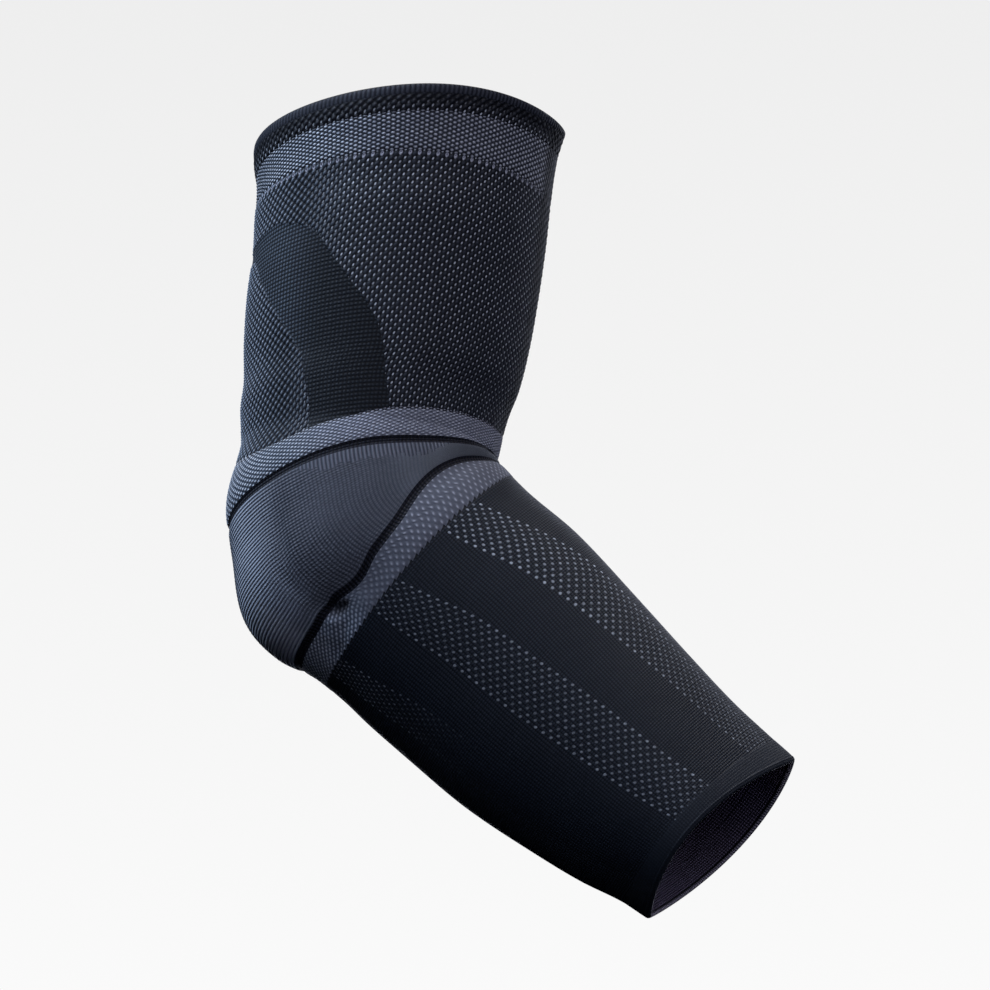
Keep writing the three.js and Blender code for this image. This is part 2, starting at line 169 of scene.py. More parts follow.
# %% Sections, folds and dents
SECTIONS = np.array([  # place, bulge to the front, depth, width: shares of the sizes at the place
    (0, 0, 1, 1), (0.06, -0.01, 0.985, 1), (0.14, -0.01, 0.96, 0.985), (0.25, 0, 0.945, 0.98),
    (0.35, 0.01, 0.93, 1), (0.5, 0.02, 0.92, 1), (0.65, 0.025, 0.9, 1), (0.78, 0.02, 0.875, 1),
    (0.86, 0.005, 0.87, 1), (0.93, 0, 0.855, 1), (1, 0, 0.845, 1), (1.2, 0, 0.9, 1.01),
    (1.4, 0, 0.93, 1.015), (1.6, 0, 0.985, 1.01), (1.75, 0, 0.975, 1), (1.88, 0, 0.935, 1),
    (2, 0, 0.94, 1), (2.1, 0, 0.96, 1), (2.25, 0.02, 0.985, 1), (2.45, 0.015, 1.02, 1),
    (2.65, 0.005, 1.03, 1), (2.8, 0, 1.025, 1), (2.92, 0.01, 1, 1), (3, 0.02, 1, 1),
]).T
FOLDS = np.array([  # place, fold at the front, fold at the back, lean of the near side
    (0, 0.42, 0, 0), (0.2, 0.35, 0, 0), (0.9, 0.25, 0, 0), (1.2, 0, 0, 0), (2, 0, 0, 0),
    (2.4, 0.05, 0, 0), (2.75, 0.3, 0.3, 0.12), (3, 0.75, 0.75, 0.36),
]).T
DENTS = [  # place, angle, depth as a share of the wall, reach along and around as shares of the elbow
    (1.86, 0.33, 0.55, 0.11, 0.14), (1.1, 0.95, 0.3, 0.2, 0.12),
]
PUCKERS = [  # small dents that only the cloth shows, given in the same way
    (1.86, 0.255, 0.25, 0.075, 0.07), (1.852, 0.246, 1.4, 0.034, 0.036), (1.874, 0.267, 0.7, 0.02, 0.02),
    (1.874, 0.22, -0.6, 0.025, 0.025), (1.925, 0.215, 0.4, 0.022, 0.06), (1.9, 0.19, -0.3, 0.03, 0.04),
    (1.95, 0.165, 0.35, 0.02, 0.05), (1.94, 0.31, -0.25, 0.05, 0.04),
    (1.5, 0.27, 0.3, 0.12, 0.03), (1.62, 0.24, 0.2, 0.1, 0.03),
]
print("sections:", SECTIONS.shape[1], "dents and puckers:", len(DENTS) + len(PUCKERS))


# %% The surface as a function
def smooth(knots, values, at):
    """A smooth curve through the values at the knots."""
    knots, values, at = np.asarray(knots, float), np.asarray(values, float), np.asarray(at, float)
    last = len(knots) - 1
    low, high = np.maximum(np.arange(last + 1) - 1, 0), np.minimum(np.arange(last + 1) + 1, last)
    slopes = (values[high] - values[low]) / (knots[high] - knots[low])
    i = np.clip(np.searchsorted(knots, at) - 1, 0, last - 1)
    span = knots[i + 1] - knots[i]
    t = (at - knots[i]) / span
    start = (2 * t**3 - 3 * t**2 + 1) * values[i] + (t**3 - 2 * t**2 + t) * span * slopes[i]
    end = (3 * t**2 - 2 * t**3) * values[i + 1] + (t**3 - t**2) * span * slopes[i + 1]
    return start + end


def smoothstep(value, low, high):
    """0 below low, 1 above high and a soft step between."""
    t = np.clip((value - low) / (high - low), 0, 1)
    return t * t * (3 - 2 * t)


def backward(tilt):
    """The way from the front of a section to its back, as x and z."""
    return np.stack([-np.cos(tilt), -np.sin(tilt)])


CROOK_TO_MIDDLE = ELBOW_DEPTH * float(smooth(SECTIONS[0], SECTIONS[2], 1.5)) / 2
HALFWAY_TILT = (TILT_ABOVE_BEND + TILT_BELOW_BEND) / 2
PIVOT = -backward(HALFWAY_TILT) * (CROOK_TO_MIDDLE + CROOK_RADIUS)
UPPER_WAY = np.array([math.sin(UPPER_LEAN), math.cos(UPPER_LEAN)])
FOREARM_WAY = np.array([math.cos(FOREARM_DROP), -math.sin(FOREARM_DROP)])


def dent_depth(place, angle):
    """How deep the dents and puckers press a point in, in millimetres."""
    folded = 1 - np.abs(1 - angle)
    depth = 0
    for dent_place, dent_angle, share, reach_along, reach_around in DENTS + PUCKERS:
        along = (place - dent_place) * BEND_ANGLE / reach_along
        around = (folded - dent_angle) * math.pi / 2 / reach_around
        depth = depth + WALL * share * np.exp(-(along**2 + around**2))
    return depth


def surface(place, angle, stand):
    """Points of the sleeve in millimetres. The angle runs from 0 at the back over 1 at the front to 2
    at the back again, and stand is how far a point stands out from the common surface."""
    place, angle = np.broadcast_arrays(np.asarray(place, float), np.asarray(angle, float))
    above, below = np.clip(1 - place, 0, None), np.clip(place - 2, 0, None)
    bend = np.clip(place - 1, 0, 1)
    fan = TILT_ABOVE_BEND + BEND_ANGLE * bend
    tilt = fan + (UPPER_RIM_TILT - TILT_ABOVE_BEND) * above + (WRIST_RIM_TILT - TILT_BELOW_BEND) * below
    depth = ELBOW_DEPTH + (UPPER_RIM_DEPTH - ELBOW_DEPTH) * above + (WRIST_RIM_DEPTH - ELBOW_DEPTH) * below
    width = ELBOW_WIDTH + (UPPER_RIM_WIDTH - ELBOW_WIDTH) * above + (WRIST_RIM_WIDTH - ELBOW_WIDTH) * below
    fan_x, fan_z = backward(fan)
    up, down = UPPER_LENGTH * above, FOREARM_LENGTH * below
    front_x = PIVOT[0] + fan_x * CROOK_RADIUS + UPPER_WAY[0] * up + FOREARM_WAY[0] * down
    front_z = PIVOT[1] + fan_z * CROOK_RADIUS + UPPER_WAY[1] * up + FOREARM_WAY[1] * down
    bulge = depth * smooth(SECTIONS[0], SECTIONS[1], place)
    half_width = width * smooth(SECTIONS[0], SECTIONS[3], place) / 2
    half_depth = (depth * smooth(SECTIONS[0], SECTIONS[2], place) + bulge) / 2
    rise = stand - dent_depth(place, angle)
    turn = math.pi * angle
    to_front = (1 - np.cos(turn)) / 2
    front_fold, back_fold = smooth(FOLDS[0], FOLDS[1], place), smooth(FOLDS[0], FOLDS[2], place)
    fold = back_fold * (1 - to_front) + front_fold * to_front
    side = np.sign(np.sin(turn)) * np.abs(np.sin(turn)) ** (1 + fold)
    sway = smooth(FOLDS[0], FOLDS[3], place) * (half_width + rise) * side
    along = half_depth - bulge + (half_depth + rise) * np.cos(turn) + sway
    back_x, back_z = backward(tilt)
    return np.stack([front_x + back_x * along, -(half_width + rise) * side, front_z + back_z * along], -1)


print("crook at", surface(1.5, 1, 0).round(1), "elbow at", surface(1.5, 0, 0).round(1))

# %% [markdown]
# ## Wales and courses
# Knit is counted in wales, the columns of stitches, and courses, its rows. A tube keeps the same
# number of wales all the way, and they spread where the arm is thick. So we follow each wale along
# the sleeve and measure its length. Every mesh column then lies on a wale, and the knit's UV map
# counts stitches: u in wales around the arm, v in courses along it.

# %% Follow every wale
WALES = 196
STEPS_PER_WALE = 3
COLUMNS = WALES * STEPS_PER_WALE
PLACE_STEPS, RING_STEPS = 360, 240
columns = np.arange(COLUMNS + 1)
wale = columns / STEPS_PER_WALE
places = np.linspace(0, 3, PLACE_STEPS + 1)


def even_angles(first, last, count):
    """Angles that share each section's way round from first to last into even steps."""
    fine = np.linspace(first, last, RING_STEPS + 1)
    ring = surface(places[:, None], fine[None, :], 0)
    runs = np.linalg.norm(np.diff(ring, axis=1), axis=2).cumsum(axis=1)
    runs = np.concatenate([np.zeros((len(places), 1)), runs], axis=1)
    shares = np.linspace(0, 1, count + 1)
    return np.stack([np.interp(shares, run / run[-1], fine) for run in runs])


near = even_angles(0, 1, COLUMNS // 2)
far = even_angles(1, 2, COLUMNS // 2)
wale_angles = np.concatenate([near, far[:, 1:]], axis=1)
wale_points = surface(places[:, None], wale_angles, 0)
steps = np.linalg.norm(np.diff(wale_points, axis=0), axis=2)
wale_lengths = np.concatenate([np.zeros((1, COLUMNS + 1)), steps.cumsum(axis=0)])
whole = wale_lengths[-1]


def on_wale(table, place):
    """The value of a table of places and wales at a place of each wale."""
    at = np.clip(place, 0, 3) / 3 * (len(places) - 1)
    low = np.minimum(at.astype(int), len(places) - 2)
    t = at - low
    return table[low, columns] * (1 - t) + table[low + 1, columns] * t


def place_at(length):
    """The places at lengths along the wales."""
    found = [np.interp(length[:, k], wale_lengths[:, k], places) for k in columns]
    return np.stack(found, axis=1)


one_wale = wale_points[0, STEPS_PER_WALE] - wale_points[0, 0]
print("wale width at the upper rim:", round(float(np.linalg.norm(one_wale)), 2))

# %% [markdown]
# ## The lines between the zones
# The knit changes yarn along nine lines. Each line is given as a place at the back, the side and the
# front of the sleeve and halfway between them, as in the solids. The seams cover their lines.

# %% Lines and edges
LINE_ANGLES = [0, 0.25, 0.5, 0.75, 1]
CROSSING_ROUNDS = 8


def from_upper_rim(distance, shares):
    """Places at a distance from the upper rim, more or less by a share of it at each angle."""
    return [distance * (1 + share) / UPPER_LENGTH for share in shares]


def from_wrist_rim(distance):
    """Places at the same distance from the wrist rim all the way round."""
    return [3 - distance / FOREARM_LENGTH] * 5


CUFF_END = HEM_WIDTH + UPPER_CUFF_WIDTH
LINES = {
    "hem_edge": from_upper_rim(HEM_WIDTH, [0.1, 0.1, 0, -0.15, -0.25]),
    "stripe_top": from_upper_rim(CUFF_END, [0.32, 0.08, 0, -0.04, -0.1]),
    "stripe_foot": from_upper_rim(CUFF_END + UPPER_STRIPE_WIDTH, [0.03, 0, 0, 0.07, 0.16]),
    "upper_band_top": [1.06, 1.095, 0.985, 0.942, 0.925],
    "upper_seam": [1.29, 1.247, 1.197, 1.2, 1],
    "lower_seam": [1.83, 1.835, 1.8, 1.6, 2],
    "lower_band_foot": [1.95, 1.985, 2.02, 2.045, 2.04],
    "wrist_cuff_top": from_wrist_rim(WRIST_HEM_WIDTH + WRIST_CUFF_WIDTH),
    "wrist_hem_edge": from_wrist_rim(WRIST_HEM_WIDTH),
}


def folded_at(place):
    """How far round from the back, 0, to the front, 1, each wale is at its place."""
    return 1 - np.abs(1 - on_wale(wale_angles, place))


def line_place(name):
    """Where each wale crosses a line, as a place. Each round comes closer to it."""
    place = np.full(COLUMNS + 1, float(np.mean(LINES[name])))
    for _ in range(CROSSING_ROUNDS):
        place = smooth(LINE_ANGLES, LINES[name], folded_at(place))
    return place


crossing = {name: on_wale(wale_lengths, line_place(name)) for name in LINES}
SWAY = np.array([  # the lower seam swings to both sides of its line at the pucker: angle, millimetres
    (0, 0), (0.18, 0), (0.255, -0.7), (0.345, 1.7), (0.43, 0), (1, 0),
]).T
crossing["lower_seam"] = crossing["lower_seam"] + smooth(*SWAY, folded_at(line_place("lower_seam")))
RIM_DIP = 2.8  # how far the near side of the wrist rim is pulled back
rim_angle = wale_angles[-1]
dip = RIM_DIP * np.where(rim_angle < 1, np.sin(math.pi * rim_angle) ** 2, 0)
crossing["wrist_hem_edge"] = crossing["wrist_hem_edge"] - dip
seam_half = {}
for name in ("upper_seam", "lower_seam"):
    folded = folded_at(np.interp(crossing[name], [0, whole.mean()], [0, 3]))
    narrow = smoothstep(folded, 0.5, 1)
    seam_half[name] = (SEAM_WIDTH * (1 - narrow) + SEAM_WIDTH_AT_CROOK * narrow + JOIN_GAP) / 2
edges = [
    np.zeros(COLUMNS + 1),
    crossing["hem_edge"],
    crossing["stripe_top"],
    crossing["stripe_foot"],
    crossing["upper_band_top"],
    crossing["upper_seam"] - seam_half["upper_seam"],
    crossing["upper_seam"] + seam_half["upper_seam"],
    crossing["lower_seam"] - seam_half["lower_seam"],
    crossing["lower_seam"] + seam_half["lower_seam"],
    crossing["lower_band_foot"],
    crossing["wrist_cuff_top"],
    crossing["wrist_hem_edge"],
    whole - dip,
]
ZONES = [
    "upper_hem", "upper_cuff", "upper_stripe", "upper_arm_sleeve", "upper_elbow_band", "upper_seam",
    "elbow_cap", "lower_seam", "lower_elbow_band", "forearm_sleeve", "wrist_cuff", "wrist_hem",
]
span = {name: (edges[i], edges[i + 1]) for i, name in enumerate(ZONES)}
for name, (start, end) in span.items():
    print(name, "from", (end - start).min().round(1), "to", (end - start).max().round(1), "mm wide")

# %% [markdown]
# ## Knitted relief
# Real stitches stand out by a third of a millimetre, and they are what the eye reads as knit. Each
# kind of stitch here is a low relief on the mesh, a function of wales, courses and the way round
# from the back. The coarse knit has slanted pillows that sit between their neighbours, the grey yarn
# makes beads, and the elbow cap has ridges that run round the elbow and fade towards the crook.


# %% Reliefs
def cell(value):
    """How far a value is from the middle of its own cell, from -0.5 to 0.5."""
    return value - np.floor(value) - 0.5


def pillows(wales, courses, folded=0, place=0):
    """Slanted pillows of coarse knit, which touch in ropes."""
    rope, pinch = cell((wales + courses) / 2), cell((courses - wales) / 2)
    return np.cos(math.pi * rope) ** 2 * (0.6 + 0.4 * np.cos(2 * math.pi * pinch))


def beads(wales, courses, folded, place):
    """Small staggered beads, lower towards the front."""
    one, other = cell((wales + 2 * courses) / 2), cell((2 * courses - wales) / 2)
    return np.cos(math.pi * one) * np.cos(math.pi * other) * (1 - 0.6 * smoothstep(folded, 0.3, 0.6))


def soft_beads(wales, courses, folded, place):
    """Beads at the back alone."""
    return beads(wales, courses, folded, place) * (1 - smoothstep(folded, 0.24, 0.32))


def ridges(wales, courses, folded, place):
    """A ridge along each course, at the back alone."""
    return np.cos(math.pi * cell(courses)) ** 2 * (1 - smoothstep(folded, 0.16, 0.4))


def ribs(wales, courses, folded, place):
    """A rib along each wale."""
    return np.cos(math.pi * cell(wales)) ** 2


print("pillow at its middle:", pillows(0.0, 1.0))


# %% A zone of knit
EDGE_STAND = -0.04  # how far the edges of a zone sink in, as a share of the wall
INNER_ROWS = 8
ROUND_ROWS = 8
RELIEF_FADE = 0.8  # millimetres from the edge of a zone over which its relief rises
SHARP_ANGLE = math.radians(70)


def knit_zone(name, rows, course=None, count=None, crown=0, relief=None, height=0, rim=None, maps=None):
    """One zone as a closed wall on the wales: its outer face with the relief, and its inner face.
    Its rows of stitches are course millimetres apart, or count of them fill the zone."""
    start, end = span[name]
    round_off = WALL / 2 if rim else 0
    first = start + (round_off if rim == "start" else 0)
    last = end - (round_off if rim == "end" else 0)
    shares = np.linspace(0, 1, rows + 1)[:, None]
    lengths = first + (last - first) * shares
    stand = WALL * (crown + (EDGE_STAND - crown) * (2 * shares - 1) ** 4) + 0 * lengths
    rings = [(lengths, stand, 0)]
    inner_shares = np.linspace(1, 0, INNER_ROWS + 1)[:, None]
    inner_lengths = first + (last - first) * inner_shares
    inner = (inner_lengths, -WALL + 0 * inner_lengths, 1)
    turn = np.linspace(0, math.pi, ROUND_ROWS + 1)[1:-1, None]
    out, lift = np.sin(turn), WALL * ((EDGE_STAND - 1) / 2 + (1 + EDGE_STAND) / 2 * np.cos(turn))
    halfway = (turn > math.pi / 2 - 0.01).astype(int)
    if rim == "end":
        rings += [(last + round_off * out, lift + 0 * lengths[:1], halfway), inner]
    elif rim == "start":
        rings += [inner, (first - round_off * out[::-1], lift[::-1] + 0 * lengths[:1], halfway[::-1])]
    else:
        rings += [inner]
    lengths, stand = (np.concatenate([ring[i] for ring in rings]) for i in (0, 1))
    kind = np.concatenate([(ring[2] + np.zeros((len(ring[0]), 1))).ravel() for ring in rings])
    courses = (lengths - start) / (end - start) * count if count else (lengths - start) / course
    place = place_at(lengths)
    angle = on_wale(wale_angles, place)
    folded = 1 - np.abs(1 - angle)
    if relief:
        room = np.minimum(lengths - first, last - lengths)
        amount = height * smoothstep(room, 0, RELIEF_FADE) * (kind == 0)[:, None]
        stand = stand + amount * relief(wale[None, :], courses, folded, place)
    points = surface(place, angle, stand)
    layers = {"knit": (wale + 0 * courses, courses), "way": (folded, lengths - start)}
    for layer, measure in (maps or {}).items():
        layers[layer] = measure(place, folded, lengths - start)
    return make_piece(name, points, layers, kind)


def make_piece(name, points, layers, kind):
    """A mesh from a closed loop of rings, with UV maps that are counted in stitches."""
    rings, count = len(points), COLUMNS
    ring, column = np.meshgrid(np.arange(rings), np.arange(count), indexing="ij")
    below = (ring + 1) % rings
    corner_rings = np.stack([ring, below, below, ring], -1).reshape(-1, 4)
    corner_columns = np.stack([column, column, column + 1, column + 1], -1).reshape(-1, 4)
    mesh = bpy.data.meshes.new(name + "_knit")
    mesh.vertices.add(rings * count)
    mesh.vertices.foreach_set("co", (points[:, :count] * MM).reshape(-1))
    mesh.loops.add(corner_rings.size)
    mesh.loops.foreach_set("vertex_index", (corner_rings * count + corner_columns % count).reshape(-1))
    mesh.polygons.add(len(corner_rings))
    mesh.polygons.foreach_set("loop_start", np.arange(len(corner_rings)) * 4)
    inside = (kind[corner_rings[:, 0]] == 1) & (kind[corner_rings[:, 1]] == 1)
    mesh.polygons.foreach_set("material_index", inside.astype(np.int32))
    mesh.update(calc_edges=True)
    for layer, (across, along) in layers.items():
        uv = np.stack([across[corner_rings, corner_columns], along[corner_rings, corner_columns]], -1)
        mesh.uv_layers.new(name=layer).data.foreach_set("uv", uv.astype(np.float32).reshape(-1))
    mesh.validate()
    piece = bpy.data.objects.new(name + "_knit", mesh)
    bpy.context.collection.objects.link(piece)
    bpy.ops.object.select_all(action="DESELECT")
    piece.select_set(True)
    bpy.context.view_layer.objects.active = piece
    bpy.ops.object.shade_smooth_by_angle(angle=SHARP_ANGLE)
    piece.select_set(False)
    return piece


def dress(piece, nodes, outside, inside=None):
    """Gives a piece its two materials and hangs it on the frame in place of its solids."""
    piece.data.materials.append(outside)
    piece.data.materials.append(inside or lining)
    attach(piece, "root")
    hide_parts(*nodes)
    print(piece.name, "faces:", len(piece.data.polygons), "stands for", len(nodes), "solids")


print("columns of the mesh:", COLUMNS, "inner rows of a zone:", INNER_ROWS)

# %% [markdown]
# ## How the yarns look
# The sleeve is machine-knitted from polyamide and elastane yarn. Such yarn is matt, with a faint sheen
# at grazing light. The gaps between its stitches are painted dark, as painted shade in the hollows
# between the loops. An image could show them, but it would blur in close views. So every finish below
# is a pattern of nodes on the knit map, and is made of the same few helpers. One lays squares over the
# stitches, straight or staggered like a chessboard. One lays a soft mound over each stitch, which colours
# the yarn, with painted shade towards its edge, and lifts it in the bump. One paints coats of colour over
# each other, each through its own mask.


# %% Stitches as nodes
SOFT = {"interpolation_type": "SMOOTHSTEP"}  # a soft step between two values
BETWEEN = (0.5, 0.5)  # shifts staggered squares to the gaps between the stitches


def read_map(tree, name):
    """The two parts of one of the piece's UV maps."""
    both = add(tree, "UVMap", uv_map=name)
    return add(tree, "SeparateXYZ", [both], "X"), add(tree, "SeparateXYZ", [both], "Y")


def squares(tree, knit, staggered=False, stretch=1, shift=(0, 0)):
    """A square around each stitch, straight or staggered."""
    size = math.sqrt(0.5) if staggered else 1
    return add(tree, "Mapping", {
        "Vector": knit,
        "Location": (*shift, 0),
        "Rotation": (0, 0, -math.pi / 4 if staggered else 0),
        "Scale": (size, size * stretch, 1),
    })


def from_middle(tree, square):
    """The way from the middle of each square to a point in it."""
    part = add(tree, "VectorMath", [square], operation="FRACTION")
    return add(tree, "VectorMath", [part, (0.5, 0.5, 0)], operation="SUBTRACT")


def chance(tree, square):
    """A random number for each square."""
    number = add(tree, "VectorMath", [square], operation="FLOOR")
    return add(tree, "TexWhiteNoise", {"Vector": number}, "Value", noise_dimensions="2D")


def mound(tree, square, half, lean=0, sharp=0):
    """1 in the middle of each stitch and 0 at its edge. half is its half width and half length."""
    shape = add(tree, "Mapping", {
        "Vector": from_middle(tree, square), "Rotation": (0, 0, lean), "Scale": (*half, 1),
    }, vector_type="TEXTURE")
    away = add(tree, "VectorMath", [shape], "Value", operation="LENGTH")
    return add(tree, "MapRange", [away, 1, sharp], **SOFT)


def line(tree, square, part):
    """1 along the middle of each row (part Y) or column (part X) of squares, and 0 between them."""
    across = add(tree, "SeparateXYZ", [from_middle(tree, square)], part)
    away = add(tree, "Math", [across], operation="ABSOLUTE")
    return add(tree, "MapRange", [away, 0.5, 0.05], **SOFT)


def coats(tree, colour, *layers):
    """Paints coats over a colour. Each is a mask, and the colour that shows where the mask is 1."""
    for mask, over in layers:
        colour = add(tree, "Mix", {0: mask, 6: colour, 7: over}, 2, data_type="RGBA")
    return colour


print("a staggered square is", round(math.sqrt(2), 2), "wales across")

# %% Yarn
FIBRE_SCALE, PATCH_SCALE = 2600, 90  # fuzz of 0.4 mm, drawn coarser than real fibres, and patches of 11 mm
# Where painted shade darkens the crease along the front of the upper arm
CREASE_FROM, CREASE_TO, CREASE_SLANT = 0.86, 0.91, 0.0006
CREASE_STRENGTH = 0.85


def yarn(name):
    """A new matt polyamide yarn: its material, its node tree and its knit map."""
    material = bpy.data.materials.new(name)
    material.use_nodes = True
    tree = material.node_tree
    shader = tree.nodes["Principled BSDF"]
    shader.inputs["Roughness"].default_value = 0.62
    shader.inputs["IOR"].default_value = 1.53
    shader.inputs["Specular IOR Level"].default_value = 0.1
    shader.inputs["Sheen Weight"].default_value = 0.015
    shader.inputs["Sheen Roughness"].default_value = 0.4
    shader.inputs["Sheen Tint"].default_value = linear("#c9d3e6")
    return material, tree, add(tree, "UVMap", uv_map="knit")


def finish_yarn(tree, colour, height, depth, crease=False):
    """Links a colour and a height, whose 1 is depth millimetres, and adds the fuzz of the fibres. With
    crease, painted shade darkens the crease along the front of the upper arm, which turns away from the
    light."""
    shader = tree.nodes["Principled BSDF"]
    if crease:
        way_round, away = read_map(tree, "way")
        slant = add(tree, "Math", [away, CREASE_SLANT], operation="MULTIPLY")
        reach = add(tree, "Math", [way_round, slant], operation="SUBTRACT")
        # painted shade: the crease along the front is coloured near black
        crease_shade = add(tree, "MapRange", [reach, CREASE_FROM, CREASE_TO, 0, CREASE_STRENGTH], **SOFT)
        colour = coats(tree, colour, (crease_shade, "#050609"))
    place = add(tree, "TexCoord", out="Object")
    fibres = add(tree, "TexNoise", {"Vector": place, "Scale": FIBRE_SCALE, "Detail": 3})
    patches = add(tree, "TexNoise", {"Vector": place, "Scale": PATCH_SCALE, "Detail": 2})
    mottle = add(tree, "Math", [patches, 0.3, 0.62], operation="MULTIPLY_ADD")
    mottle = add(tree, "Math", [fibres, 0.5, mottle], operation="MULTIPLY_ADD")
    worn = add(tree, "VectorMath", {0: colour, "Scale": mottle}, operation="SCALE")
    tree.links.new(worn, shader.inputs["Base Color"])
    rough = add(tree, "Math", [fibres, 0.25, height], operation="MULTIPLY_ADD")
    bump = add(tree, "Bump", {"Height": rough, "Strength": 1, "Distance": depth * MM})
    tree.links.new(bump, shader.inputs["Normal"])


print("fuzz about", round(1000 / FIBRE_SCALE, 1), "mm across")

# %% [markdown]
# The inside of the sleeve is the back of the same knit. It is made of the same loops, seen from
# behind: a fine grid of dark yarn with a touch of purple, flatter than the outside.

# %% Lining
lining, tree, knit = yarn("lining_knit")
loop = mound(tree, squares(tree, knit), (0.62, 0.62))
finish_yarn(tree, coats(tree, "#17131c", (loop, "#6a6172")), loop, 0.3)
print("inside of every zone:", lining.name)

# %% [markdown]
# ## Upper hem and cuff
# The upper end is turned over to a narrow ribbed hem that grips the arm. It could be a ring with a
# bevel, but then its ribs would not meet the wales below. So it is a zone like the others, whose upper
# edge is rounded. Elastane ribs give the eye fine upright lines that fade into a dark outer edge.
# Below it lies a short cuff in dark coarse knit: slanted pillows of yarn with dark gaps between them,
# and a few light dots where the next row begins.

# %% Ribbed hem
hem_knit, tree, knit = yarn("ribbed_hem_knit")
rib = line(tree, squares(tree, knit), "X")
outer_edge = add(tree, "MapRange", [read_map(tree, "way")[1], 0.9, 0.3], **SOFT)
colour = coats(tree, "#171a21", (rib, "#34373f"), (outer_edge, "#0c0e12"))
finish_yarn(tree, colour, rib, 0.2, crease=True)
hem = knit_zone("upper_hem", 10, course=0.85, crown=0, relief=ribs, height=0.06, rim="start")
dress(hem, ["upper_hem"], hem_knit)

# %% Coarse knit of the cuff
COARSE_COURSE, FINE_COURSE = 1.3, 0.8  # millimetres from one course to the next
PILLOW, PILLOW_LEAN = (0.44, 0.66), -0.35
DOT, DOT_COLOUR = (0.18, 0.34), "#b9c0c8"

cuff_knit, tree, knit = yarn("dark_coarse_polyamide_knit")
stitch = squares(tree, knit, True)
pillow = mound(tree, stitch, PILLOW, PILLOW_LEAN, 0.1)
tone = coats(tree, "#1f2228", (chance(tree, stitch), "#2c2f36"))
dot = mound(tree, squares(tree, knit, True, shift=BETWEEN), DOT, PILLOW_LEAN, 0.4)
low_rows = add(tree, "MapRange", [read_map(tree, "knit")[1], 1.2, 4.6], **SOFT)
dot = add(tree, "Math", [dot, low_rows], operation="MULTIPLY")
colour = coats(tree, "#0a0c11", (pillow, tone), (dot, DOT_COLOUR))
finish_yarn(tree, colour, pillow, 0.35, crease=True)
cuff = knit_zone("upper_cuff", 14, course=COARSE_COURSE, relief=pillows, height=0.2)
dress(cuff, ["upper_cuff"], cuff_knit)

# %% [markdown]
# ## Grey stripe
# A ring of grey yarn, whose stitches look like rows of beads. It is a zone of nine courses, and the
# beads are both relief and colour, so that they show in any light. Each bead is painted a little lighter
# and bluer at the back: painted light of the bluish upper left sun. In its first and last rows the dark
# yarn of the next zones shows between the stitches, so that the edges look like small teeth.


# %% Grey knit
def teeth(tree, last_row):
    """1 in the outer half of a zone's first row, and of its last row where that is given."""
    courses = read_map(tree, "knit")[1]
    outer = add(tree, "MapRange", [courses, 0.75, 0.6], **SOFT)
    if last_row:
        last = add(tree, "MapRange", [courses, last_row - 0.75, last_row - 0.6], **SOFT)
        outer = add(tree, "Math", [outer, last], operation="MAXIMUM")
    return outer


def grey_knit(name, gap, low, high, last_row=None, crease=False):
    """Beads of grey yarn. Each colour is a pair, for the back and for the front of the sleeve; the
    lighter, bluer back colours are painted light of the upper left sun.
    """
    material, tree, knit = yarn(name)
    front = add(tree, "MapRange", [read_map(tree, "way")[0], 0.25, 0.55], **SOFT)
    gap, low, high = [coats(tree, at_back, (front, at_front)) for at_back, at_front in (gap, low, high)]
    stitch = squares(tree, knit, True, stretch=2)
    bead = mound(tree, stitch, BEAD, BEAD_LEAN, 0.15)
    between = coats(tree, gap, (teeth(tree, last_row), "#14161d"))
    tone = coats(tree, low, (chance(tree, stitch), high))
    finish_yarn(tree, coats(tree, between, (bead, tone)), bead, 0.35, crease)
    return material


BEAD, BEAD_LEAN = (0.4, 0.64), -0.75
STRIPE_ROWS, BAND_ROWS, LOWER_BAND_ROWS = 9, 8, 7
# back colours lighter and bluer: painted light of the upper left sun
stripe_knit = grey_knit(
    "grey_coarse_polyamide_knit", ("#2c3239", "#272a31"), ("#a8b1bc", "#959aa4"), ("#c8d1dc", "#abb0ba"),
    last_row=STRIPE_ROWS, crease=True,
)
stripe = knit_zone("upper_stripe", 36, count=STRIPE_ROWS, crown=0.02, relief=beads, height=0.25)
dress(stripe, ["upper_stripe"], stripe_knit)

# %% [markdown]
# ## Upper arm
# The upper arm is dark coarse knit with light dots, and a wedge of finer plain knit runs through it
# from the back down to the elbow band. The wedge could be a piece of its own, but the real one is
# knitted in, with no edge. So it is a region in a second UV map: how many millimetres a point lies
# inside it. The same map tells how far round to the front a point is, because the dots of light yarn
# fade out towards the back. There the pillows and the wedge are painted lighter: painted highlights
# where the upper left sun grazes the knit.

# %% Regions of the upper arm
WEDGE_TOP = [  # angle, place
    (0, 0.36), (0.07, 0.36), (0.18, 0.345), (0.27, 0.38), (0.32, 0.425), (0.394, 0.555),
    (0.456, 0.66), (0.483, 0.715), (0.511, 0.805), (0.544, 0.95), (0.56, 1.1), (1, 3),
]
WEDGE_FOOT = [(0, 0.4), (0.09, 0.425), (0.27, 0.735), (0.311, 0.81), (0.344, 0.96), (0.37, 1.3), (1, 3)]


def upper_regions(place, folded, away):
    """How far inside the wedge a point lies, and how far round to the dotted front."""
    top = np.interp(folded, *zip(*WEDGE_TOP))
    foot = np.interp(folded, *zip(*WEDGE_FOOT))
    inside = np.minimum(place - top, foot - place) * UPPER_LENGTH
    return inside, smoothstep(folded, 0.26, 0.42)


def dots_left(place, folded, away):
    """How much is left of the dots: they are fainter low down at the front. The map's other part is
    not needed."""
    return 1 - 0.4 * smoothstep(place, 0.55, 1) * smoothstep(folded, 0.5, 0.8), 0 * place


